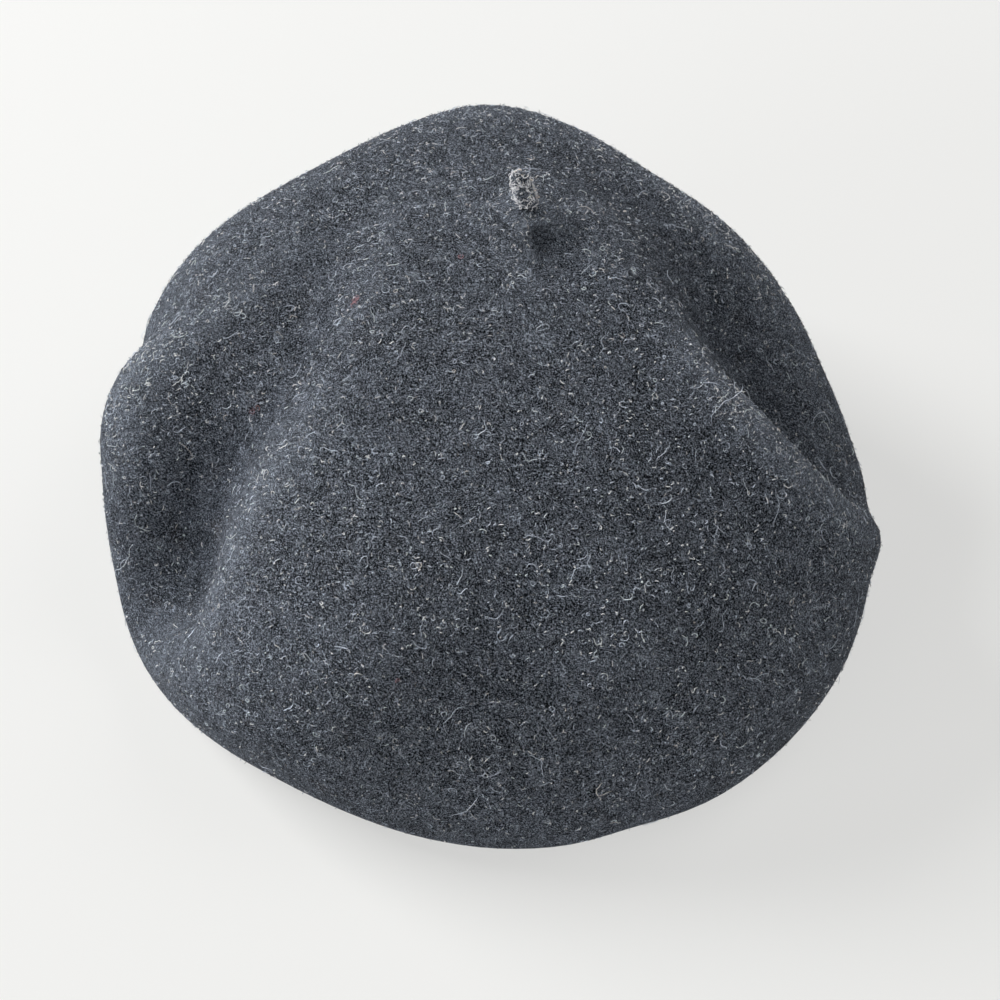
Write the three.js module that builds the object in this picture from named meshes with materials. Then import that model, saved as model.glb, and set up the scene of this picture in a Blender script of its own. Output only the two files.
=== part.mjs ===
import * as THREE from 'three';

// A soft wool-felt beret at rest on its opening. Millimetres, +Z up.
// Bearings run anticlockwise seen from above: 0 is the front (-Y), 90 the
// right (+X), 180 the back and 270 the left.

const WALL = 2.2; // felt thickness
const GAP = 0.3; // clearance between the stalk and the crown
const OPENING_RADIUS = 88; // plain cut edge round the head opening
const OPENING_BACK = 14; // how far the opening lies behind the dome's middle
const RING_WIDTH = 9; // felt that lies flat round the opening
const ROLL_RADIUS = 4.5; // outside bend of the crease and of the foot
const UNDERSIDE_HOLLOW = 2; // how much the underside is drawn in
const SUMMIT = { x: 16, y: 45, z: 100 }; // where the folds run together
const SUMMIT_FULLNESS = 2.1; // the same roundness on all sides near the summit
const SUMMIT_SPREAD = 0.6; // how far out that holds
const TENT = { bearing: 212, out: 0.013, lift: 3, radius: 9 }; // felt drawn up to the stalk
const DIMPLE = { bearing: 38, out: 0.062, lift: -4, radius: 4.5 }; // hollow in front of it
const PAD_RADIUS = 2.5; // innermost row round the summit
const FELT_RADIUS = 130; // nominal length from the summit to the crease

// Divisions round the beret, closer together across the two long folds.
const STRETCHES = [
  { name: 'front', from: -34, to: 42, columns: 17 },
  { name: 'right fold', from: 42, to: 92, columns: 22 },
  { name: 'back', from: 92, to: 248, columns: 22 },
  { name: 'left fold', from: 248, to: 326, columns: 27 },
];
const TOP_ROWS = 22; // from the summit to the crease
const BEND_ROWS = 3; // round each bend
const SLOPE_ROWS = 2; // along the underside
const ROW_CROWDING = 1.1; // above 1 the rows are closer together near the summit
const FLAT_SLOPE = 15; // an underside shorter than this isn't drawn in
const DRAWN_SLOPE = 45; // one longer than this is drawn in fully

// The crease round the crown, as seen from above: how far out it reaches,
// how high it hangs and how full the felt is above it (2 is an ellipse).
const CREASE = [
  { bearing: 0, reach: 121.5, height: 4.5, fullness: 1.9 },
  { bearing: 30, reach: 128.5, height: 10.5, fullness: 2 },
  { bearing: 60, reach: 130.5, height: 18.5, fullness: 1.95 },
  { bearing: 90, reach: 123.5, height: 27.5, fullness: 1.9 },
  { bearing: 120, reach: 113, height: 40, fullness: 2.6 },
  { bearing: 145, reach: 111.5, height: 46, fullness: 2.5 },
  { bearing: 165, reach: 121, height: 51, fullness: 2.7 },
  { bearing: 180, reach: 127.5, height: 54, fullness: 2.7 },
  { bearing: 195, reach: 123, height: 50, fullness: 2.6 },
  { bearing: 215, reach: 118.5, height: 45, fullness: 2.5 },
  { bearing: 240, reach: 126, height: 40, fullness: 2.25 },
  { bearing: 270, reach: 119, height: 36.5, fullness: 2.35 },
  { bearing: 285, reach: 124, height: 31, fullness: 2.1 },
  { bearing: 300, reach: 125.5, height: 12.5, fullness: 1.9 },
  { bearing: 330, reach: 120, height: 11.5, fullness: 1.85 },
];

// Folds of the felt. Each line runs outwards from near the summit: out (0 at the
// summit, 1 at the crease), bearing and lift (mm, negative for a hollow). 'before'
// and 'after' are the widths of its flanks on the lower and higher bearings.
const FOLDS = [
  {
    name: 'left crest', before: 9.5, after: 41,
    line: [
      { out: 0.1, bearing: 266, lift: 0 },
      { out: 0.2, bearing: 278, lift: 1.5 },
      { out: 0.3, bearing: 292.5, lift: 2 },
      { out: 0.4, bearing: 302, lift: 3.5 },
      { out: 0.5, bearing: 308, lift: 2.5 },
      { out: 0.6, bearing: 312.5, lift: 2.5 },
      { out: 0.7, bearing: 314.5, lift: 3 },
      { out: 0.8, bearing: 316, lift: 3 },
      { out: 0.92, bearing: 314, lift: 2 },
      { out: 1, bearing: 311.5, lift: 0 },
    ],
  },
  {
    name: 'left valley', before: 34, after: 10.5,
    line: [
      { out: 0.12, bearing: 260.5, lift: 0 },
      { out: 0.22, bearing: 269.5, lift: -1.5 },
      { out: 0.32, bearing: 284, lift: -9 },
      { out: 0.42, bearing: 290.5, lift: -12 },
      { out: 0.52, bearing: 294, lift: -15.5 },
      { out: 0.62, bearing: 298.5, lift: -18 },
      { out: 0.72, bearing: 301.5, lift: -20.5 },
      { out: 0.82, bearing: 299, lift: -15.5 },
      { out: 0.9, bearing: 294.5, lift: -11.5 },
      { out: 0.96, bearing: 292, lift: -4 },
      { out: 1, bearing: 286.5, lift: -2 },
    ],
  },
  {
    name: 'left edge', before: 11.5, after: 23,
    line: [
      { out: 0.3, bearing: 250.5, lift: 0 },
      { out: 0.42, bearing: 263.5, lift: 5 },
      { out: 0.56, bearing: 269, lift: 7.5 },
      { out: 0.72, bearing: 270.5, lift: 9.5 },
      { out: 0.88, bearing: 274, lift: 7 },
      { out: 1, bearing: 279, lift: 2 },
    ],
  },
  {
    name: 'left notch', before: 17.5, after: 5.5,
    line: [
      { out: 0.55, bearing: 255.5, lift: 0 },
      { out: 0.75, bearing: 258, lift: -4.5 },
      { out: 1, bearing: 261, lift: -4.5 },
    ],
  },
  {
    name: 'right crest', before: 10, after: 8,
    line: [
      { out: 0.13, bearing: 88, lift: 0 },
      { out: 0.22, bearing: 72, lift: 0.5 },
      { out: 0.3, bearing: 62, lift: 4 },
      { out: 0.37, bearing: 61, lift: 6 },
      { out: 0.46, bearing: 62.5, lift: 8.5 },
      { out: 0.56, bearing: 64, lift: 10 },
      { out: 0.67, bearing: 67.5, lift: 9 },
      { out: 0.78, bearing: 71, lift: 7 },
      { out: 0.89, bearing: 75, lift: 4.5 },
      { out: 1, bearing: 77.5, lift: 2 },
    ],
  },
  {
    name: 'right hollow', before: 19, after: 40.5,
    line: [
      { out: 0.14, bearing: 114, lift: 0 },
      { out: 0.24, bearing: 96, lift: -5 },
      { out: 0.36, bearing: 85, lift: -11.5 },
      { out: 0.48, bearing: 81, lift: -15 },
      { out: 0.6, bearing: 79, lift: -15 },
      { out: 0.75, bearing: 80, lift: -10 },
      { out: 0.9, bearing: 85, lift: -2.5 },
      { out: 1, bearing: 88, lift: 1.5 },
    ],
  },
  {
    name: 'front ridge', before: 42.5, after: 23,
    line: [
      { out: 0.3, bearing: 354, lift: 0 },
      { out: 0.44, bearing: 348, lift: 5.5 },
      { out: 0.56, bearing: 341, lift: 8 },
      { out: 0.68, bearing: 333, lift: 8 },
      { out: 0.8, bearing: 327.5, lift: 5 },
      { out: 0.95, bearing: 322.5, lift: -0.5 },
    ],
  },
  {
    name: 'front swell', before: 13, after: 19,
    line: [
      { out: 0.42, bearing: 10.5, lift: 0 },
      { out: 0.58, bearing: 16.5, lift: 3.5 },
      { out: 0.72, bearing: 16.5, lift: -0.5 },
      { out: 0.9, bearing: 20, lift: -2 },
    ],
  },
];

// The stalk: a short stub of rolled felt that leans to the left.
const STALK = [
  { along: 0, radius: 2.8 },
  { along: 1, radius: 3.2 },
  { along: 4, radius: 3.1 },
  { along: 8, radius: 3.3 },
  { along: 10.4, radius: 3 },
  { along: 11.8, radius: 2.1 },
  { along: 12.5, radius: 1 },
];
const STALK_SIDES = 12;
const STALK_CAP = 0.3; // rounding above the last row
const STALK_LEAN = { x: -0.24, y: -0.06 }; // sideways drift per millimetre of height

const FELT_COLOUR = 0x34383f;
const STALK_COLOUR = 0x5a5e64;
const FELT_ROUGHNESS = 0.95;

const radians = (degrees) => (degrees * Math.PI) / 180;
const mix = (a, b, t) => a + (b - a) * t;
const smooth = (t) => {
  const c = Math.min(Math.max(t, 0), 1);
  return c * c * (3 - 2 * c);
};

// A smooth curve through two columns of a table, held level past its ends.
function through(table, key, column, at) {
  const last = table.length - 1;
  if (at <= table[0][key]) return table[0][column];
  if (at >= table[last][key]) return table[last][column];
  let i = 0;
  while (table[i + 1][key] < at) i += 1;
  const slope = (k) => {
    const [before, after] = [table[Math.max(k - 1, 0)], table[Math.min(k + 1, last)]];
    return (after[column] - before[column]) / (after[key] - before[key]);
  };
  const [a, b] = [table[i], table[i + 1]];
  const span = b[key] - a[key];
  const t = (at - a[key]) / span;
  const t2 = t * t;
  const t3 = t2 * t;
  return (2 * t3 - 3 * t2 + 1) * a[column] + (t3 - 2 * t2 + t) * slope(i) * span
    + (3 * t2 - 2 * t3) * b[column] + (t3 - t2) * slope(i + 1) * span;
}

// The crease table carried on past the front both ways, so that it closes smoothly.
const fullTurn = [-360, 0, 360].flatMap((lap) => (
  CREASE.map((row) => ({ ...row, bearing: row.bearing + lap }))
));
const around = (column, bearing) => through(fullTurn, 'bearing', column, bearing);

// The smooth dome without its folds.
function dome(bearing, out) {
  const reach = around('reach', bearing);
  const height = around('height', bearing);
  const power = 2 / mix(SUMMIT_FULLNESS, around('fullness', bearing), smooth(out / SUMMIT_SPREAD));
  const angle = (out * Math.PI) / 2;
  const spread = Math.sin(angle) ** power;
  const rise = Math.max(Math.cos(angle), 0) ** power;
  return new THREE.Vector3(
    mix(SUMMIT.x, reach * Math.sin(radians(bearing)), spread),
    mix(SUMMIT.y, -reach * Math.cos(radians(bearing)), spread),
    mix(height, SUMMIT.z, rise),
  );
}

// Height of a round bump or hollow at one place of the felt.
function bumpLift(bump, bearing, out) {
  const reach = out * FELT_RADIUS;
  const middle = bump.out * FELT_RADIUS;
  const turn = radians(bearing - bump.bearing);
  const apart = Math.sqrt(reach ** 2 + middle ** 2 - 2 * reach * middle * Math.cos(turn));
  return bump.lift * Math.exp(-((apart / bump.radius) ** 2));
}

// Height of all folds together at one place of the felt. The felt is measured as
// if it were laid out flat round the summit.
function foldLift(bearing, out) {
  let total = 0;
  for (const fold of FOLDS) {
    const aside = bearing - through(fold.line, 'out', 'bearing', out);
    const turn = ((aside + 540) % 360) - 180;
    const distance = radians(turn) * out * FELT_RADIUS;
    const width = distance > 0 ? fold.after : fold.before;
    total += through(fold.line, 'out', 'lift', out) * Math.exp(-((distance / width) ** 2));
  }
  return total + bumpLift(TENT, bearing, out) + bumpLift(DIMPLE, bearing, out);
}

// The columns lean sideways so that one of them runs along each long crest.
const CREST_LEAN = 45; // how far to each side the columns lean with a crest, degrees
const crests = FOLDS.filter((fold) => fold.name.endsWith('crest'));
function columnBearing(start, out) {
  let bearing = start;
  for (const { line } of crests) {
    const middle = line[Math.floor(line.length / 2)].bearing;
    const away = (((start - middle) + 540) % 360) - 180;
    const lean = through(line, 'out', 'bearing', out) - middle;
    bearing += lean * Math.exp(-((away / CREST_LEAN) ** 2));
  }
  return bearing;
}

const starts = STRETCHES.flatMap(({ from, to, columns }) => (
  Array.from({ length: columns }, (_, k) => mix(from, to, k / columns))
));
const COLUMNS = starts.length;

// small differences for finding the felt's slope
const STEP_OUT = 0.002;
const STEP_ROUND = 0.3; // degrees

// The outer surface above the crease.
function crown(bearing, out) {
  const at = Math.min(Math.max(out, STEP_OUT), 1 - STEP_OUT);
  const round = dome(bearing + STEP_ROUND, at).sub(dome(bearing - STEP_ROUND, at));
  const down = dome(bearing, at + STEP_OUT).sub(dome(bearing, at - STEP_OUT));
  const normal = down.cross(round).normalize();
  return dome(bearing, out).addScaledVector(normal, foldLift(bearing, out));
}

// The underside: from the crease, round the bend, down the slope, round the foot
// and in to the cut edge. 'along' runs from 0 at the crease to 1 at the opening.
function underside(bearing) {
  const direction = new THREE.Vector2(Math.sin(radians(bearing)), -Math.cos(radians(bearing)));
  const edge = crown(bearing, 1);
  // distance from the dome's middle to the foot, along this bearing
  const ring = OPENING_RADIUS + RING_WIDTH;
  const toRing = (radius) => {
    const back = OPENING_BACK * direction.y;
    return back + Math.sqrt(radius ** 2 - OPENING_BACK ** 2 + back ** 2);
  };
  const reach = Math.hypot(edge.x, edge.y);
  const height = Math.max(edge.z, ROLL_RADIUS);
  const crease = new THREE.Vector2(reach - ROLL_RADIUS, height);
  const foot = new THREE.Vector2(toRing(ring), ROLL_RADIUS);
  const slope = Math.atan2(crease.y - foot.y, crease.x - foot.x);
  const turn = Math.PI / 2 - slope;
  const profile = [];
  for (let i = 1; i <= BEND_ROWS; i += 1) {
    const a = (turn * i) / BEND_ROWS;
    profile.push([crease.x + ROLL_RADIUS * Math.cos(a), crease.y - ROLL_RADIUS * Math.sin(a)]);
  }
  const normal = [Math.cos(turn), -Math.sin(turn)];
  const length = crease.distanceTo(foot);
  const draw = UNDERSIDE_HOLLOW * smooth((length - FLAT_SLOPE) / (DRAWN_SLOPE - FLAT_SLOPE));
  for (let i = 1; i <= SLOPE_ROWS; i += 1) {
    const t = i / (SLOPE_ROWS + 1);
    const hollow = draw * Math.sin(Math.PI * t) ** 2;
    profile.push([
      mix(crease.x, foot.x, t) + normal[0] * (ROLL_RADIUS - hollow),
      mix(crease.y, foot.y, t) + normal[1] * (ROLL_RADIUS - hollow),
    ]);
  }
  for (let i = 0; i <= BEND_ROWS; i += 1) {
    const a = mix(turn, Math.PI / 2, i / BEND_ROWS);
    profile.push([foot.x + ROLL_RADIUS * Math.cos(a), foot.y - ROLL_RADIUS * Math.sin(a)]);
  }
  profile.push([toRing(OPENING_RADIUS), 0]);
  return profile.map(([r, z]) => new THREE.Vector3(direction.x * r, direction.y * r, z));
}

// The rows of the outer surface, from the summit to the cut edge.
function outerRows() {
  const rows = [];
  const padOut = PAD_RADIUS / FELT_RADIUS;
  for (let i = 0; i <= TOP_ROWS; i += 1) {
    const out = mix(padOut, 1, (i / TOP_ROWS) ** ROW_CROWDING);
    rows.push(starts.map((start) => crown(columnBearing(start, out), out)));
  }
  const below = starts.map((start) => underside(columnBearing(start, 1)));
  for (let j = 0; j < below[0].length; j += 1) rows.push(below.map((column) => column[j]));
  return rows;
}

// The inner surface: each point moved in by the wall along the surface's normal.
function innerRows(rows) {
  const last = rows.length - 1;
  return rows.map((row, j) => row.map((point, k) => {
    if (j === last) return point.clone().setZ(point.z + WALL);
    const next = row[(k + 1) % COLUMNS];
    const before = row[(k + COLUMNS - 1) % COLUMNS];
    const above = rows[Math.max(j - 1, 0)][k];
    const below = rows[Math.min(j + 1, last)][k];
    const normal = below.clone().sub(above).cross(next.clone().sub(before)).normalize();
    return point.clone().addScaledVector(normal, -WALL);
  }));
}

function shell(rows) {
  const inside = innerRows(rows);
  const positions = [];
  const indices = [];
  const start = (grid) => {
    const at = positions.length / 3;
    grid.forEach((row) => row.forEach((p) => positions.push(p.x, p.y, p.z)));
    return at;
  };
  const outerStart = start(rows);
  const innerStart = start(inside);
  const quad = (a, b, c, d) => indices.push(a, b, c, a, c, d);
  for (let j = 0; j + 1 < rows.length; j += 1) {
    for (let k = 0; k < COLUMNS; k += 1) {
      const n = (k + 1) % COLUMNS;
      const at = (base, row, column) => base + row * COLUMNS + column;
      quad(at(outerStart, j, k), at(outerStart, j + 1, k), at(outerStart, j + 1, n), at(outerStart, j, n));
      quad(at(innerStart, j, k), at(innerStart, j, n), at(innerStart, j + 1, n), at(innerStart, j + 1, k));
    }
  }
  const lastRow = (rows.length - 1) * COLUMNS;
  for (let k = 0; k < COLUMNS; k += 1) {
    const n = (k + 1) % COLUMNS;
    quad(outerStart + lastRow + k, innerStart + lastRow + k, innerStart + lastRow + n, outerStart + lastRow + n);
  }
  // the level pad at the summit, outside and inside
  const cap = (base, flip) => {
    const centre = new THREE.Vector3();
    for (let k = 0; k < COLUMNS; k += 1) {
      centre.add(new THREE.Vector3().fromArray(positions, (base + k) * 3));
    }
    centre.divideScalar(COLUMNS);
    positions.push(centre.x, centre.y, centre.z);
    const middle = positions.length / 3 - 1;
    for (let k = 0; k < COLUMNS; k += 1) {
      const n = (k + 1) % COLUMNS;
      if (flip) indices.push(middle, base + n, base + k);
      else indices.push(middle, base + k, base + n);
    }
  };
  cap(outerStart, false);
  cap(innerStart, true);
  return solid(positions, indices);
}

function solid(positions, indices) {
  const geometry = new THREE.BufferGeometry();
  geometry.setAttribute('position', new THREE.Float32BufferAttribute(positions, 3));
  geometry.setIndex(indices);
  geometry.computeVertexNormals();
  return geometry;
}

function stalk(base) {
  const positions = [];
  const indices = [];
  for (const row of STALK) {
    for (let k = 0; k < STALK_SIDES; k += 1) {
      const a = (k * 2 * Math.PI) / STALK_SIDES;
      positions.push(
        base.x + STALK_LEAN.x * row.along + row.radius * Math.sin(a),
        base.y + STALK_LEAN.y * row.along - row.radius * Math.cos(a),
        base.z + row.along,
      );
    }
  }
  for (let j = 0; j + 1 < STALK.length; j += 1) {
    for (let k = 0; k < STALK_SIDES; k += 1) {
      const n = (k + 1) % STALK_SIDES;
      const a = j * STALK_SIDES;
      const b = a + STALK_SIDES;
      indices.push(a + k, a + n, b + n, a + k, b + n, b + k);
    }
  }
  const top = (STALK.length - 1) * STALK_SIDES;
  const tip = STALK[STALK.length - 1].along;
  positions.push(base.x, base.y, base.z);
  const foot = positions.length / 3 - 1;
  positions.push(base.x + STALK_LEAN.x * tip, base.y + STALK_LEAN.y * tip, base.z + tip + STALK_CAP);
  const head = foot + 1;
  for (let k = 0; k < STALK_SIDES; k += 1) {
    const n = (k + 1) % STALK_SIDES;
    indices.push(foot, n, k);
    indices.push(head, top + k, top + n);
  }
  return solid(positions, indices);
}

const rows = outerRows();
const crownGeometry = shell(rows);
// the stalk stands over the tent, clear of the highest felt there
const stalkFoot = crown(TENT.bearing, TENT.out);
stalkFoot.setZ(Math.max(stalkFoot.z, ...rows[0].map((p) => p.z)) + GAP);
const stalkGeometry = stalk(stalkFoot);

// centre the beret over the origin, its lowest felt at z = 0
crownGeometry.computeBoundingBox();
const middle = crownGeometry.boundingBox.getCenter(new THREE.Vector3());
for (const geometry of [crownGeometry, stalkGeometry]) {
  geometry.translate(-middle.x, -middle.y, 0);
}

const beret = new THREE.Group();
beret.name = 'basque_beret';
const piece = (name, geometry, color) => {
  const material = new THREE.MeshStandardMaterial({ color, roughness: FELT_ROUGHNESS, metalness: 0 });
  const mesh = new THREE.Mesh(geometry, material);
  mesh.name = name;
  beret.add(mesh);
};
piece('crown', crownGeometry, FELT_COLOUR);
piece('stalk', stalkGeometry, STALK_COLOUR);

export default beret;
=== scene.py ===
import math

import bmesh
import bpy
import numpy as np
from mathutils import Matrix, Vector, noise


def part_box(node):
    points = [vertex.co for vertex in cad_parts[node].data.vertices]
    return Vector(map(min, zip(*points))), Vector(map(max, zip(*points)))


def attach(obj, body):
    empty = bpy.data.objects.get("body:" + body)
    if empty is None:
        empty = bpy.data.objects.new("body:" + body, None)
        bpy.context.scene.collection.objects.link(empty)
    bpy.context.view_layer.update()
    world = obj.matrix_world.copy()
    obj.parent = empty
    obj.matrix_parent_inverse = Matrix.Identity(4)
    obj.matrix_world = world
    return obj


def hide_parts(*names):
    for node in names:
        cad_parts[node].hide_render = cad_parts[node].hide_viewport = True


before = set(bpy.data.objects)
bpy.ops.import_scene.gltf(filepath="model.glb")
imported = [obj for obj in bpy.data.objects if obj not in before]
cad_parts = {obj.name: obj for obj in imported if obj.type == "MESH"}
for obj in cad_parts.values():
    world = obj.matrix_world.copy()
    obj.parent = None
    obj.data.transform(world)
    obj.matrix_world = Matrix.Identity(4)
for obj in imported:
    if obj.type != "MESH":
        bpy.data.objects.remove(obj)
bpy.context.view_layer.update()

MM = 0.001
RNG = np.random.default_rng(27)

# The camera stands in front of the beret and looks down on it.
CAMERA_ELEVATION = 55.3
CAMERA_AZIMUTH = -1.0
CAMERA_DISTANCE = 439.2 * MM
CAMERA_TARGET = Vector((2.1, -23.3, 40.6)) * MM

# The small hollow in front of the stalk, also darkened by painted shade in the felt colour.
DENT = Vector((16.0, 32.5, 99.8)) * MM
DENT_DEPTH = 2.2 * MM
DENT_RADIUS = 5 * MM

scene = bpy.context.scene
crown_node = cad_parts["crown"]
stalk_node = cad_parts["stalk"]


# Shader wiring

class Socket:
    """A shader value: arithmetic on it adds Math nodes."""

    def __init__(self, shader, output):
        self.shader = shader
        self.output = output

    def maths(self, operation, other, swapped=False):
        """A Math node on this value and another, the other one first if swapped."""
        pair = (other, self) if swapped else (self, other)
        return self.shader.add("Math", {"operation": operation}, {0: pair[0], 1: pair[1]})

    def __add__(self, other):
        return self.maths("ADD", other)

    def __radd__(self, other):
        return self.maths("ADD", other, True)

    def __sub__(self, other):
        return self.maths("SUBTRACT", other)

    def __rsub__(self, other):
        return self.maths("SUBTRACT", other, True)

    def __mul__(self, other):
        return self.maths("MULTIPLY", other)

    def __rmul__(self, other):
        return self.maths("MULTIPLY", other, True)

    def __abs__(self):
        return self.shader.add("Math", {"operation": "ABSOLUTE"}, {0: self})

    def ramp(self, low, high, out_low=0.0, out_high=1.0):
        """Smooth step from out_low at low to out_high at high."""
        return self.shader.add(
            "MapRange",
            {"interpolation_type": "SMOOTHSTEP"},
            {0: self, 1: low, 2: high, 3: out_low, 4: out_high},
        )


class Shader:
    """One node tree, of a material or of the room."""

    def __init__(self, owner, surface):
        owner.use_nodes = True
        self.owner = owner
        self.tree = owner.node_tree
        self.surface = self.tree.nodes[surface]

    def wire(self, node, key, value):
        """Links a Socket to an input, or sets the input to a plain value."""
        if isinstance(value, Socket):
            self.tree.links.new(value.output, node.inputs[key])
        else:
            node.inputs[key].default_value = value

    def add(self, kind, settings=None, values=None, output=0):
        """A node of a kind: its settings first, then its inputs; gives one output."""
        node = self.tree.nodes.new("ShaderNode" + kind)
        for key, value in (settings or {}).items():
            setattr(node, key, value)
        for key, value in (values or {}).items():
            self.wire(node, key, value)
        return Socket(self, node.outputs[output])

    def place(self, turn=(0.0, 0.0, 0.0)):
        """Object coordinates in millimetres."""
        at = self.add("TexCoord", output="Object")
        return self.add("Mapping", None, {0: at, 2: turn, 3: (1 / MM, 1 / MM, 1 / MM)})

    def noise(self, where, scale, detail=2.0, roughness=0.5, distortion=0.0):
        return self.add(
            "TexNoise",
            None,
            {"Vector": where, "Scale": scale, "Detail": detail, "Roughness": roughness,
             "Distortion": distortion},
        )

    def mix(self, amount, a, b):
        """Colour a where amount is 0 and colour b where it is 1."""
        return self.add("Mix", {"data_type": "RGBA"}, {0: amount, 6: a, 7: b}, output=2)

    def set(self, **values):
        """Sets or links inputs of the surface, with _ for a space in their names."""
        for key, value in values.items():
            self.wire(self.surface, key.replace("_", " "), value)


def new_material(name):
    return Shader(bpy.data.materials.new(name), "Principled BSDF")


def wool_lines(shader, where, scale, width, curl):
    """Thin curly lines like single fibres: 1 on a line, 0 between.

    scale is how many curls there are to a millimetre.
    """
    field = shader.noise(where, scale, 1.0, 0.5, curl)
    return abs(field - 0.5).ramp(0.0, width, 1.0, 0.0)


# Colours of the felt, and how far each thing lightens or darkens it.
GAP_TONE = (0.002, 0.003, 0.004, 1)  # between the fibres
WOOL_TONE = (0.016, 0.02, 0.03, 1)
BROWN_TONE = (0.026, 0.021, 0.021, 1)  # stray brown wool in the mixture
FIBRE_TONE = (0.74, 0.83, 0.97, 1)
# Painted shade in hollows and painted sheen on the sides: where the felt is marked smooth,
# its dark gaps fill with flat grey.
SMOOTH_PAINTED_LIGHT = 0.4
# Painted highlight on upward-facing ridges, in the felt and in its fibres.
RIDGE_PAINTED_HIGHLIGHT = 0.4
RIDGE_PAINTED_FIBRE_HIGHLIGHT = 0.14
BROAD_CHANGE = 0.08
PATCH_CHANGE = 0.22
# Painted shade darkens the felt round the dent, this much and this far.
DENT_PAINTED_SHADE = 0.5
DENT_SHADE_REACH = 9  # millimetres
BUMP_HEIGHT = 0.5 * MM


def felt_material(name, lighter=0.0):
    """Matt hairy wool felt: dark gaps, grey wool and light curly fibres."""
    shader = new_material(name)
    where = shader.place()
    turned = shader.place(turn=(0.6, 0.9, 0.3))
    across = shader.place(turn=(1.9, 0.4, 2.3))
    broad = shader.noise(where, 0.02, 2.0)
    patches = shader.noise(turned, 0.18, 3.0, 0.6)
    away = shader.add(
        "VectorMath", {"operation": "DISTANCE"}, {0: where, 1: DENT / MM}, output="Value"
    )
    grain = shader.noise(where, 2.6, 2.0, 0.7, 0.4)
    specks = shader.noise(across, 2.8, 1.0, 0.5, 1.5).ramp(0.55, 0.64)
    fine = wool_lines(shader, where, 1.6, 0.06, 2.4)
    long = wool_lines(shader, turned, 0.5, 0.022, 3.0)
    ridge = shader.add("Attribute", {"attribute_name": "ridge"}, output="Fac")
    smooth = shader.add("Attribute", {"attribute_name": "smooth"}, output="Fac")
    # fewer light fibres where the felt is marked smooth: painted shade in hollows, painted
    # sheen on the sides
    fibres = (
        specks * grain.ramp(0.44, 0.54) * 1.15
        + fine * grain.ramp(0.48, 0.58)
        + long * patches.ramp(0.42, 0.6) * 1.1
    ) * (1 - 0.5 * smooth)
    tone = (
        # less grain and a flat lighter grey where the felt is marked smooth: painted shade
        # and sheen
        grain.ramp(0.45, 0.68) * (1 - 0.4 * smooth)
        + smooth * SMOOTH_PAINTED_LIGHT
        # painted highlight on upward-facing ridges
        + ridge * RIDGE_PAINTED_HIGHLIGHT
        + broad.ramp(0.3, 0.7, -BROAD_CHANGE, BROAD_CHANGE)
        + patches.ramp(0.3, 0.7, -PATCH_CHANGE, PATCH_CHANGE)
        # painted shade round the dent
        + away.ramp(0, DENT_SHADE_REACH, -DENT_PAINTED_SHADE, 0)
        + lighter
    )
    wool = shader.mix(shader.noise(across, 0.12, 2.0).ramp(0.55, 0.75), WOOL_TONE, BROWN_TONE)
    colour = shader.mix(tone, GAP_TONE, wool)
    # painted highlight: more fibre colour on ridges
    colour = shader.mix(fibres + ridge * RIDGE_PAINTED_FIBRE_HIGHLIGHT + lighter * 0.5, colour, FIBRE_TONE)
    height = grain * 0.4 + fibres * 0.35 + patches * 1.1
    bump = shader.add(
        "Bump", None, {"Strength": 0.9, "Distance": BUMP_HEIGHT, "Height": height}
    )
    shader.set(Base_Color=colour, Roughness=0.95, Normal=bump)
    shader.set(Specular_IOR_Level=0.08, Sheen_Weight=0.08, Sheen_Roughness=0.4)
    shader.set(Sheen_Tint=(0.75, 0.8, 0.9, 1))
    return shader.owner


def fibre_material(name):
    """Loose wool: each fibre's own colour comes from its 'tone' attribute."""
    shader = new_material(name)
    tone = shader.add("Attribute", {"attribute_name": "tone"}, output="Color")
    shader.set(Base_Color=tone, Roughness=0.75, Specular_IOR_Level=0.2)
    return shader.owner


# The felt body

def piece(name, mesh, material, slot, *nodes):
    """One visible piece, which stands in for the nodes that it names."""
    made = bpy.data.objects.new(name, mesh)
    scene.collection.objects.link(made)
    mesh.materials.clear()
    mesh.materials.append(material)
    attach(made, "root")
    if nodes:
        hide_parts(*nodes)
    return made


def finished_mesh(made):
    """The mesh of an object with its modifiers worked in."""
    graph = bpy.context.evaluated_depsgraph_get()
    return bpy.data.meshes.new_from_object(made.evaluated_get(graph))


def quads_from(node):
    """A copy of a node's felt, merged and joined back into four-sided faces."""
    bm = bmesh.new()
    bm.from_mesh(node.data)
    bmesh.ops.remove_doubles(bm, verts=bm.verts, dist=1e-6)
    bmesh.ops.join_triangles(
        bm,
        faces=bm.faces,
        angle_face_threshold=math.radians(60),
        angle_shape_threshold=math.radians(120),
    )
    for face in bm.faces:
        face.smooth = True
    return bm


def felt_piece(bm, name, material, slot, node, levels):
    """A felt body made round by levels of smoothing."""
    mesh = bpy.data.meshes.new(name)
    bm.to_mesh(mesh)
    bm.free()
    made = piece(name, mesh, material, slot, node)
    smoothing = made.modifiers.new("smooth", "SUBSURF")
    smoothing.levels = smoothing.render_levels = levels
    return made


FLAT_UNDER = 3 * MM  # the felt that lies on the floor stays flat
BROAD_RIPPLE = 34 * MM
SMALL_RIPPLE = 13 * MM
SMALL_SHIFT = Vector((7, 3, 5))  # keeps the two ripples from lining up


def ripple(at):
    """Slight unevenness of the felt, in metres."""
    broad = noise.noise(at / BROAD_RIPPLE)
    small = noise.noise(at / SMALL_RIPPLE + SMALL_SHIFT)
    return (0.55 * broad + 0.3 * small) * MM


SHORTEST_STEP = 1e-8  # square metres, so that no step divides by nothing


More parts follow.
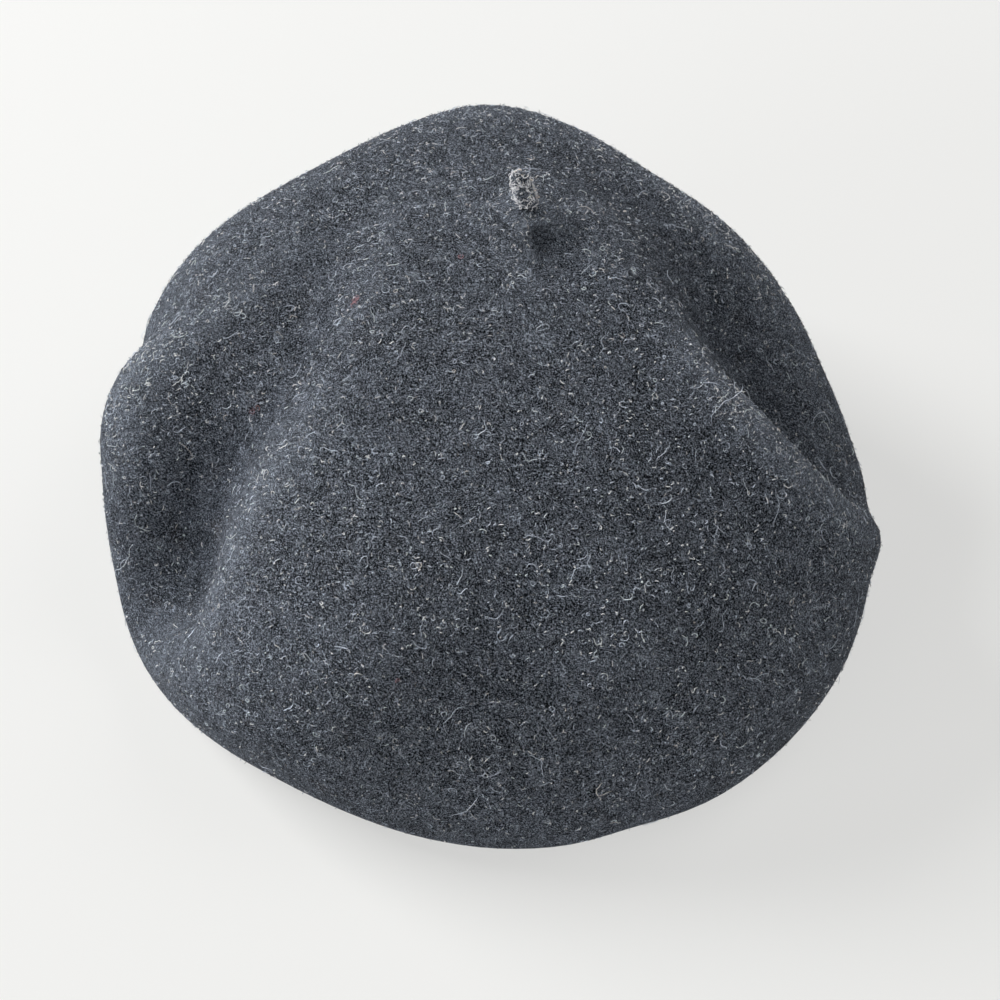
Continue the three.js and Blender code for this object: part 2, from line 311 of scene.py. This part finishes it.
def bend(vert):
    """How sharply the felt bends outwards at a vertex, per metre."""
    total = 0.0
    for edge in vert.link_edges:
        step = vert.co - edge.other_vert(vert).co
        total += step.dot(vert.normal) / max(step.length_squared, SHORTEST_STEP)
    return total / len(vert.link_edges)


# The felt's top gets more loose fibres and a painted highlight where it bends outwards
# more sharply than SOFT_BEND, and fully so at SHARP_BEND.
SOFT_BEND = 4
SHARP_BEND = 20
HOLLOW_BEND = 6  # and is painted flattest, as shade, where it bends inwards this much
# Sides turned away from this direction, close to the camera's, are painted flat as a sheen.
FRONT_TOP_VIEW = Vector((0, -0.5, 0.87))


def clamp(value):
    return min(max(value, 0.0), 1.0)


def blur(bm, layer, times):
    """Evens a vertex layer out between neighbours."""
    for _ in range(times):
        means = []
        for vert in bm.verts:
            around = [edge.other_vert(vert)[layer] for edge in vert.link_edges]
            means.append((vert[layer] + sum(around) / len(around)) / 2)
        for vert, mean in zip(bm.verts, means):
            vert[layer] = mean


def mark_felt(bm):
    """Stores two shares from 0 to 1 on each vertex.

    'ridge' is how much of an upward-facing ridge it is, which gets a painted highlight, and
    'smooth' how flat the felt is painted: painted shade in hollows and painted sheen on the
    sides.
    """
    bm.normal_update()
    ridge = bm.verts.layers.float.new("ridge")
    smooth = bm.verts.layers.float.new("smooth")
    for vert in bm.verts:
        bending = bend(vert)
        share = (bending - SOFT_BEND) / (SHARP_BEND - SOFT_BEND)
        facing_up = clamp(vert.normal.z * 3.3 - 1.5)
        vert[ridge] = clamp(share) * facing_up
        side = clamp((0.8 - vert.normal.dot(FRONT_TOP_VIEW)) * 3)
        hollow = clamp(-bending / HOLLOW_BEND)
        vert[smooth] = max(side, hollow) * (1 - vert[ridge])
    blur(bm, ridge, 2)
    blur(bm, smooth, 4)


DENT_EDGE = 3 * DENT_RADIUS  # how far the pressing reaches


def in_dent(distance):
    """1 in the middle of the dent and 0 well away from it."""
    return np.exp(-((distance / DENT_RADIUS) ** 2))


def press_dent(bm):
    """Presses the dent into the felt, inside and outside alike."""
    near = [e for e in bm.edges if all((v.co - DENT).length < DENT_EDGE for v in e.verts)]
    bmesh.ops.subdivide_edges(bm, edges=near, cuts=2, use_grid_fill=True)
    bm.normal_update()
    pushes = [(v, v.normal * DENT_DEPTH * in_dent((v.co - DENT).length)) for v in bm.verts]
    for vert, push in pushes:
        if vert.co.z > DENT.z - DENT_EDGE:
            vert.co -= push if vert.normal.z > 0 else -push


def crown_piece(material):
    """The crown with its dent, its slight unevenness and its marks."""
    bm = quads_from(crown_node)
    press_dent(bm)
    for vert in bm.verts:
        if vert.co.z > FLAT_UNDER:
            vert.co += vert.normal * ripple(vert.co)
    mark_felt(bm)
    return felt_piece(bm, "crown_felt", material, "felt", "crown", 1)


# Loose fibres

TINY = 1e-12  # keeps a length of nothing from dividing
ASKEW = (0.31, 0.17, 0.93)  # a direction that hardly any fibre runs in


class Fibres:
    """Thin pointed fibres laid on a surface, all in one mesh."""

    def __init__(self, segments, count):
        self.rings = segments + 1
        self.count = count
        self.mesh = self.straight(segments)

    def straight(self, segments):
        """One pointed fibre, three-sided, repeated count times by an Array."""
        bm = bmesh.new()
        bmesh.ops.create_cone(
            bm, cap_ends=False, segments=3, radius1=1, radius2=1, depth=segments - 2
        )
        bmesh.ops.subdivide_edges(
            bm,
            edges=[e for e in bm.edges if abs(e.verts[0].co.z - e.verts[1].co.z) > 0.5],
            cuts=max(segments - 3, 0),
        )
        bmesh.ops.translate(bm, verts=bm.verts, vec=(0, 0, segments / 2))
        for end, level in ((0, 1), (segments, segments - 1)):
            edges = [e for e in bm.edges if all(abs(v.co.z - level) < 0.01 for v in e.verts)]
            grown = bmesh.ops.extrude_edge_only(bm, edges=edges)["geom"]
            tip = [item for item in grown if isinstance(item, bmesh.types.BMVert)]
            bmesh.ops.pointmerge(bm, verts=tip, merge_co=(0, 0, end))
        bmesh.ops.recalc_face_normals(bm, faces=bm.faces)
        mesh = bpy.data.meshes.new("fibre")
        bm.to_mesh(mesh)
        bm.free()
        single = bpy.data.objects.new("fibre", mesh)
        scene.collection.objects.link(single)
        repeat = single.modifiers.new("repeat", "ARRAY")
        repeat.count = self.count
        repeat.use_relative_offset = False
        repeat.use_constant_offset = True
        repeat.constant_offset_displace = (0, 0, 0)
        made = finished_mesh(single)
        bpy.data.objects.remove(single)
        bpy.data.meshes.remove(mesh)
        return made

    def lay(self, centres, radius, tones):
        """centres: count x rings x 3 along each fibre; radius and tones per fibre."""
        flat = np.empty(len(self.mesh.vertices) * 3, dtype=np.float32)
        self.mesh.vertices.foreach_get("co", flat)
        local = flat.reshape(self.count, -1, 3)
        level = np.rint(local[..., 2]).astype(int)
        along = np.gradient(centres, axis=1)
        along /= np.linalg.norm(along, axis=2, keepdims=True) + TINY
        side = np.cross(along, np.broadcast_to(ASKEW, along.shape))
        side /= np.linalg.norm(side, axis=2, keepdims=True) + TINY
        other = np.cross(along, side)
        centres[..., 2] = np.maximum(centres[..., 2], radius[:, None])
        rows = np.arange(self.count)[:, None]
        thick = radius[:, None, None]
        placed = (
            centres[rows, level]
            + side[rows, level] * local[..., 0:1] * thick
            + other[rows, level] * local[..., 1:2] * thick
        )
        self.mesh.vertices.foreach_set("co", placed.astype(np.float32).ravel())
        colour = np.ones((self.count, local.shape[1], 4), dtype=np.float32)
        colour[..., :3] = tones[:, None, :]
        tone = self.mesh.attributes.new("tone", "FLOAT_COLOR", "POINT")
        tone.data.foreach_set("color", colour.ravel())
        self.mesh.update()
        return self.mesh


RIDGE_FIBRES = 1.0  # how many more fibres grow on a ridge
# Fewer fibres where the felt is marked smooth: painted shade in hollows and painted sheen on
# the sides.
SMOOTH_BARE = 0.7  # the share of fibres that smooth felt lacks


def share_at_verts(mesh, name):
    """The share that mark_felt stored on each vertex, or 0 where it stored none."""
    share = np.zeros(len(mesh.vertices))
    if name in mesh.attributes:
        mesh.attributes[name].data.foreach_get("value", share)
    return share


class Surface:
    """The outside of a finished piece, to scatter fibres on."""

    def __init__(self, made, middle):
        mesh = finished_mesh(made)
        mesh.calc_loop_triangles()
        corners = np.empty(len(mesh.loop_triangles) * 3, dtype=np.int32)
        mesh.loop_triangles.foreach_get("vertices", corners)
        places = np.empty(len(mesh.vertices) * 3)
        mesh.vertices.foreach_get("co", places)
        normals = np.empty(len(mesh.vertices) * 3)
        mesh.vertices.foreach_get("normal", normals)
        corners = corners.reshape(-1, 3)
        self.ridge = share_at_verts(mesh, "ridge")[corners]
        self.smooth = share_at_verts(mesh, "smooth")[corners].mean(axis=1)
        self.points = places.reshape(-1, 3)[corners]
        self.normals = normals.reshape(-1, 3)[corners]
        across = np.cross(
            self.points[:, 1] - self.points[:, 0], self.points[:, 2] - self.points[:, 0]
        )
        outward = np.einsum("ij,ij->i", across, self.points.mean(axis=1) - np.array(middle))
        self.area = np.where(outward > 0, np.linalg.norm(across, axis=1) / 2, 0)
        bpy.data.meshes.remove(mesh)

    def scatter(self, count, wanted):
        """count random places, their normals and how much of a ridge they are.

        wanted weighs the places. Ridges get more of them, and smooth felt fewer.
        """
        weight = self.area * wanted(self.points.mean(axis=1))
        weight = weight * (1 + RIDGE_FIBRES * self.ridge.mean(axis=1))
        weight = weight * (1 - SMOOTH_BARE * self.smooth)
        chosen = RNG.choice(len(weight), size=count, p=weight / weight.sum())
        a, b = RNG.random(count), RNG.random(count)
        over = a + b > 1
        a, b = np.where(over, 1 - a, a), np.where(over, 1 - b, b)
        share = np.stack([1 - a - b, a, b], axis=1)[:, :, None]
        at = (self.points[chosen] * share).sum(axis=1)
        normal = (self.normals[chosen] * share).sum(axis=1)
        normal /= np.linalg.norm(normal, axis=1, keepdims=True)
        return at, normal, (self.ridge[chosen] * share[:, :, 0]).sum(axis=1)


SUNK = 0.03 * MM  # the ends of a fibre go a little way into the felt


def curls(at, normal, rings, length, turn, wobble, lift, rise, tumble):
    """Centre lines that curl over the surface from each place.

    length in metres; turn is the whole turning of the curl and wobble its
    unevenness, in radians; lift is how far the middle stands off, rise how far
    the end does, and tumble how far the curls lie out of the surface (0 not at all).
    """
    count = len(at)
    normal = normal + tumble * RNG.normal(size=(count, 3))
    normal /= np.linalg.norm(normal, axis=1, keepdims=True)
    aside = np.cross(normal, RNG.normal(size=(count, 3)))
    aside /= np.linalg.norm(aside, axis=1, keepdims=True)
    other = np.cross(normal, aside)
    step = length[:, None] / (rings - 1)
    heading = np.cumsum(
        turn[:, None] / (rings - 1) + RNG.normal(size=(count, rings)) * wobble, axis=1
    )
    x = np.cumsum(np.cos(heading) * step, axis=1)
    y = np.cumsum(np.sin(heading) * step, axis=1)
    x -= x.mean(axis=1, keepdims=True)
    y -= y.mean(axis=1, keepdims=True)
    t = np.linspace(0, 1, rings)[None, :]
    up = lift[:, None] * np.sin(np.pi * t) + rise[:, None] * t ** 1.5 - SUNK
    return (
        at[:, None, :]
        + aside[:, None, :] * x[..., None]
        + other[:, None, :] * y[..., None]
        + normal[:, None, :] * up[..., None]
    )


COOL = (0.9, 0.98, 1.12)
WARM = (1.03, 0.97, 0.92)
WARM_SHARE = 0.03  # of all loose fibres


def wool_tones(count, low, high, power):
    """Greys between low and high, darker ones more common with a larger power."""
    value = low + (high - low) * RNG.random(count) ** power
    tint = np.where(RNG.random(count)[:, None] < WARM_SHARE, WARM, COOL)
    return value[:, None] * tint


PAINTED_HIGHLIGHT_ON_RIDGES = 0.6  # painted highlight: how much lighter the fibres on a ridge are

# How each kind of loose fibre is made: how many segments it has, and whether it
# always curls into rings. Its length and the spread of lengths, its turn and wobble,
# the thinnest and thickest radius, how far its middle lifts, the share that stand and
# how far their ends rise, its tumble, and its tones from low to high with their power.
# Lengths, radii and heights are in millimetres and turns in radians.
FIBRE_KINDS = {
    "nap": dict(segments=3, rings=False, length=1.25, spread=0.35, turn=2.4, wobble=0.5,
                thin=0.05, thick=0.09, lift=0.2, standing=0.35, rise=0.9, tumble=0.1,
                low=0.01, high=1.0, power=2.8),
    "curls": dict(segments=5, rings=False, length=1.3, spread=0.4, turn=3.8, wobble=0.7,
                  thin=0.09, thick=0.145, lift=0.5, standing=0.3, rise=0.7, tumble=0.1,
                  low=0.2, high=1.7, power=1.6),
    "hairs": dict(segments=12, rings=False, length=4.2, spread=0.5, turn=3.0, wobble=0.4,
                  thin=0.07, thick=0.115, lift=0.5, standing=0.25, rise=1.6, tumble=0.1,
                  low=0.55, high=1.0, power=1.0),
    "loops": dict(segments=10, rings=True, length=4.0, spread=0.2, turn=6.5, wobble=0.25,
                  thin=0.075, thick=0.12, lift=0.45, standing=0.3, rise=0.6, tumble=0.1,
                  low=0.5, high=1.0, power=1.0),
    "stalk": dict(segments=10, rings=True, length=4.4, spread=0.2, turn=6.8, wobble=0.35,
                  thin=0.08, thick=0.13, lift=0.5, standing=0.5, rise=0.8, tumble=1.5,
                  low=0.8, high=1.0, power=1.0),
    "lint": dict(segments=10, rings=False, length=2.6, spread=0.3, turn=4.0, wobble=0.5,
                 thin=0.09, thick=0.14, lift=0.3, standing=0.3, rise=0.4, tumble=0.3,
                 low=0.8, high=1.0, power=1.0),
}


def fibre_piece(name, kind, count, surface, wanted, slot, tint=1.0):
    """count loose fibres of one kind, where wanted says, as one piece."""
    how = FIBRE_KINDS[kind]
    fibres = Fibres(how["segments"], count)
    at, normal, ridge = surface.scatter(count, wanted)
    length = RNG.lognormal(math.log(how["length"] * MM), how["spread"], count)
    turn = RNG.normal(0, how["turn"], count)
    if how["rings"]:
        turn = how["turn"] * RNG.uniform(0.75, 1.25, count) * RNG.choice([-1, 1], count)
    lift = RNG.random(count) * how["lift"] * MM
    stands = RNG.random(count) < how["standing"]
    rise = np.where(stands, RNG.random(count) * how["rise"] * MM, 0)
    centres = curls(
        at, normal, fibres.rings, length, turn, how["wobble"], lift, rise, how["tumble"]
    )
    radius = RNG.uniform(how["thin"], how["thick"], count) * MM
    tones = wool_tones(count, how["low"], how["high"], how["power"])
    # painted highlight on the fibres on ridges
    tones = np.minimum(tones * (1 + PAINTED_HIGHLIGHT_ON_RIDGES * ridge[:, None]) * tint, 1)
    return piece(name, fibres.lay(centres, radius, tones), loose_wool, slot)


RUBBED_UNDER = 12 * MM
RUBBED_SHARE = 0.3
DENT_BARE = 0.85  # the share of fibres that the middle of the dent lacks


def more_on_top(points):
    """Fewer loose fibres low down, where they rub off, and in the dent; none on the floor."""
    height = points[:, 2]
    low_share = np.where(height > FLAT_UNDER, RUBBED_SHARE, 0.0)
    share = np.where(height > RUBBED_UNDER, 1.0, low_share)
    return share * (1 - DENT_BARE * in_dent(np.linalg.norm(points - np.array(DENT), axis=1)))


def at_places(places, spread):
    """Weighs points by how near they are to any of the places, all in millimetres."""
    def wanted(points):
        apart = np.linalg.norm(points[:, None] / MM - np.array(places)[None], axis=2)
        return np.exp(-((apart / spread) ** 2)).sum(axis=1) + TINY
    return wanted


def everywhere(points):
    """Weighs all points alike."""
    return np.ones(len(points))


# The beret

# Where bits are caught in the felt, and how closely they lie round those places, in
# millimetres.
LINT_PLACES = [(-96, 4, 80), (-93, -3, 76)]
RED_PLACES = [(-10, 25, 99), (-40, 14, 94), (-28, -38, 89), (-72, -12, 72), (-27, -95, 60)]
BITS_SPREAD = 0.9
RED_TINT = (0.62, 0.34, 0.33)
STALK_TINT = (1.15, 1.05, 0.94)
STALK_LIGHTER = 0.08

CROWN_MIDDLE = (0, 10 * MM, 40 * MM)
NAP_PIECES = 3
NAP_FIBRES = 16000  # in each piece

felt = felt_material("felt")
stalk_felt = felt_material("stalk_felt", STALK_LIGHTER)
loose_wool = fibre_material("loose_wool")

crown = crown_piece(felt)
stalk = felt_piece(quads_from(stalk_node), "stalk_felt", stalk_felt, "stalk_felt", "stalk", 2)

outside = Surface(crown, CROWN_MIDDLE)
for number in range(NAP_PIECES):
    fibre_piece(f"nap_{number}", "nap", NAP_FIBRES, outside, more_on_top, "felt")
fibre_piece("loose_curls", "curls", 8000, outside, more_on_top, "felt")
fibre_piece("loose_hairs", "hairs", 800, outside, more_on_top, "felt")
fibre_piece("loose_loops", "loops", 320, outside, more_on_top, "felt")
fibre_piece("white_lint", "lint", 12, outside, at_places(LINT_PLACES, BITS_SPREAD), "felt")
fibre_piece(
    "red_curls", "loops", 14, outside, at_places(RED_PLACES, BITS_SPREAD), "felt", RED_TINT
)
stalk_low, stalk_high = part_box("stalk")
stalk_middle = [(low + high) / 2 for low, high in zip(stalk_low, stalk_high)]
around_stalk = Surface(stalk, stalk_middle)
fibre_piece("stalk_curls", "stalk", 160, around_stalk, everywhere, "stalk_felt", STALK_TINT)


# Floor, light and camera

FLOOR_SIZE = 30  # metres from the middle to each side
LIGHT_DISTANCE = 3.0
LENS = 50


def floor_piece():
    """A plain pale floor that glows a little, to look white."""
    mesh = bpy.data.meshes.new("floor")
    bm = bmesh.new()
    bmesh.ops.create_grid(bm, x_segments=1, y_segments=1, size=FLOOR_SIZE)
    bm.to_mesh(mesh)
    bm.free()
    shader = new_material("floor")
    shader.set(Base_Color=(0.32, 0.32, 0.312, 1), Roughness=0.9)
    shader.set(Emission_Color=(1, 1, 0.985, 1), Emission_Strength=0.57)
    mesh.materials.append(shader.owner)
    made = bpy.data.objects.new("floor", mesh)
    scene.collection.objects.link(made)


def area_light(name, towards, size, power):
    """A square soft light that shines on the beret from one side."""
    light = bpy.data.lights.new(name, "AREA")
    light.size = size
    light.energy = power
    made = bpy.data.objects.new(name, light)
    scene.collection.objects.link(made)
    made.location = Vector(towards).normalized() * LIGHT_DISTANCE
    made.rotation_euler = Vector(towards).to_track_quat("Z", "Y").to_euler()


def room_light():
    """Weak light from above and a pale wall all round."""
    scene.world = bpy.data.worlds.new("room")
    shader = Shader(scene.world, "Background")
    seen = shader.add("TexCoord", output="Generated")
    height = shader.add(
        "VectorMath", {"operation": "DOT_PRODUCT"}, {0: seen, 1: (0, 0, 1)}, output="Value"
    )
    shader.set(Color=(0.97, 0.98, 1.0, 1), Strength=height.ramp(0.1, 0.25, 0.4, 0.08))


floor_piece()
area_light("window", (-0.75, 0.43, 0.5), 1.2, 105)
area_light("side_window", (-0.8, -0.58, 0.1), 1.9, 72)
area_light("far_window", (0.6, 0.35, 0.7), 1.9, 24)
room_light()

camera = bpy.data.objects.new("camera", bpy.data.cameras.new("camera"))
scene.collection.objects.link(camera)
camera.data.lens = LENS
elevation = math.radians(CAMERA_ELEVATION)
azimuth = math.radians(CAMERA_AZIMUTH)
backwards = Vector((
    math.sin(azimuth) * math.cos(elevation),
    -math.cos(azimuth) * math.cos(elevation),
    math.sin(elevation),
))
camera.location = CAMERA_TARGET + backwards * CAMERA_DISTANCE
camera.rotation_euler = backwards.to_track_quat("Z", "Y").to_euler()
scene.camera = camera
scene.view_settings.view_transform = "Standard"
